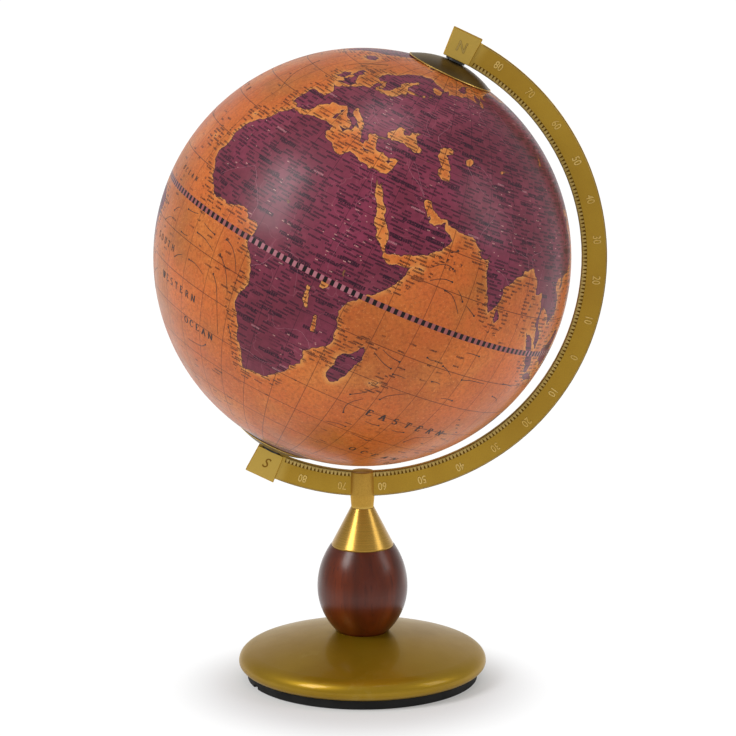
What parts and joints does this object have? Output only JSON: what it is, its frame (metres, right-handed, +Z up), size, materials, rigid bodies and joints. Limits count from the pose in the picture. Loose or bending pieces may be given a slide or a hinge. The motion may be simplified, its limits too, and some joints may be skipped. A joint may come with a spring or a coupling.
{
  "type": "terrestrial desk globe",
  "caption": "Antique-style terrestrial desk globe that spins on pins in a graduated half meridian, on a turned wood and gold stand.",
  "frame": {"origin": "on the table under the stem, at the centre of the base's resting face", "axes": "+Z up the stem; the meridian lies in the XZ plane and the north pole leans towards +X; -Y faces the reader of the scale"},
  "size_m": [0.3254, 0.3, 0.4774],
  "materials": {
    "printed_map": "matt varnished print: orange seas, maroon land",
    "card_shell": "moulded card, unseen",
    "cap_bronze": "dark olive bronze, satin, bright rim",
    "bearing_plastic": "natural moulded plastic",
    "black_plastic": "black, low sheen",
    "steel": "zinc plated",
    "satin_gold": "satin gold lacquer over fine grained metal",
    "turned_gold": "glossier gold lacquer on a turned cone",
    "gold_lacquer": "high gloss gold lacquer",
    "mahogany": "dark red mahogany, clear satin lacquer",
    "iron": "rough cast",
    "black_rubber": "matt black",
    "felt": "black felt"
  },
  "bodies": {
    "stand": {"north_pivot_pin": "steel", "south_pivot_pin": "steel", "north_spacer": "black_plastic", "south_spacer": "black_plastic", "north_end_block": "satin_gold", "south_end_block": "satin_gold", "meridian_arc": "satin_gold", "block_screws": "steel", "stem_head": "satin_gold", "arc_clamp_screw": "steel", "cone_ferrule": "turned_gold", "wood_egg": "mahogany", "tie_rod": "steel", "base_disc": "gold_lacquer", "ballast_weight": "iron", "rod_washer": "steel", "rod_nut": "steel", "base_ring": "black_rubber", "base_screws": "steel", "closing_plate": "steel", "felt_pad": "felt"},
    "ball": {"north_map_gores": "printed_map", "south_map_gores": "printed_map", "north_hemisphere": "card_shell", "south_hemisphere": "card_shell", "equator_band": "card_shell", "north_polar_cap": "cap_bronze", "south_polar_cap": "cap_bronze", "north_bush": "bearing_plastic", "south_bush": "bearing_plastic"}
  },
  "joints": [
    {"name": "ball_spin", "type": "hinge", "parent": "stand", "child": "ball", "pos_m": [0, 0, 0.3117], "axis": [0.4226, 0, 0.9063], "continuous": true}
  ]
}
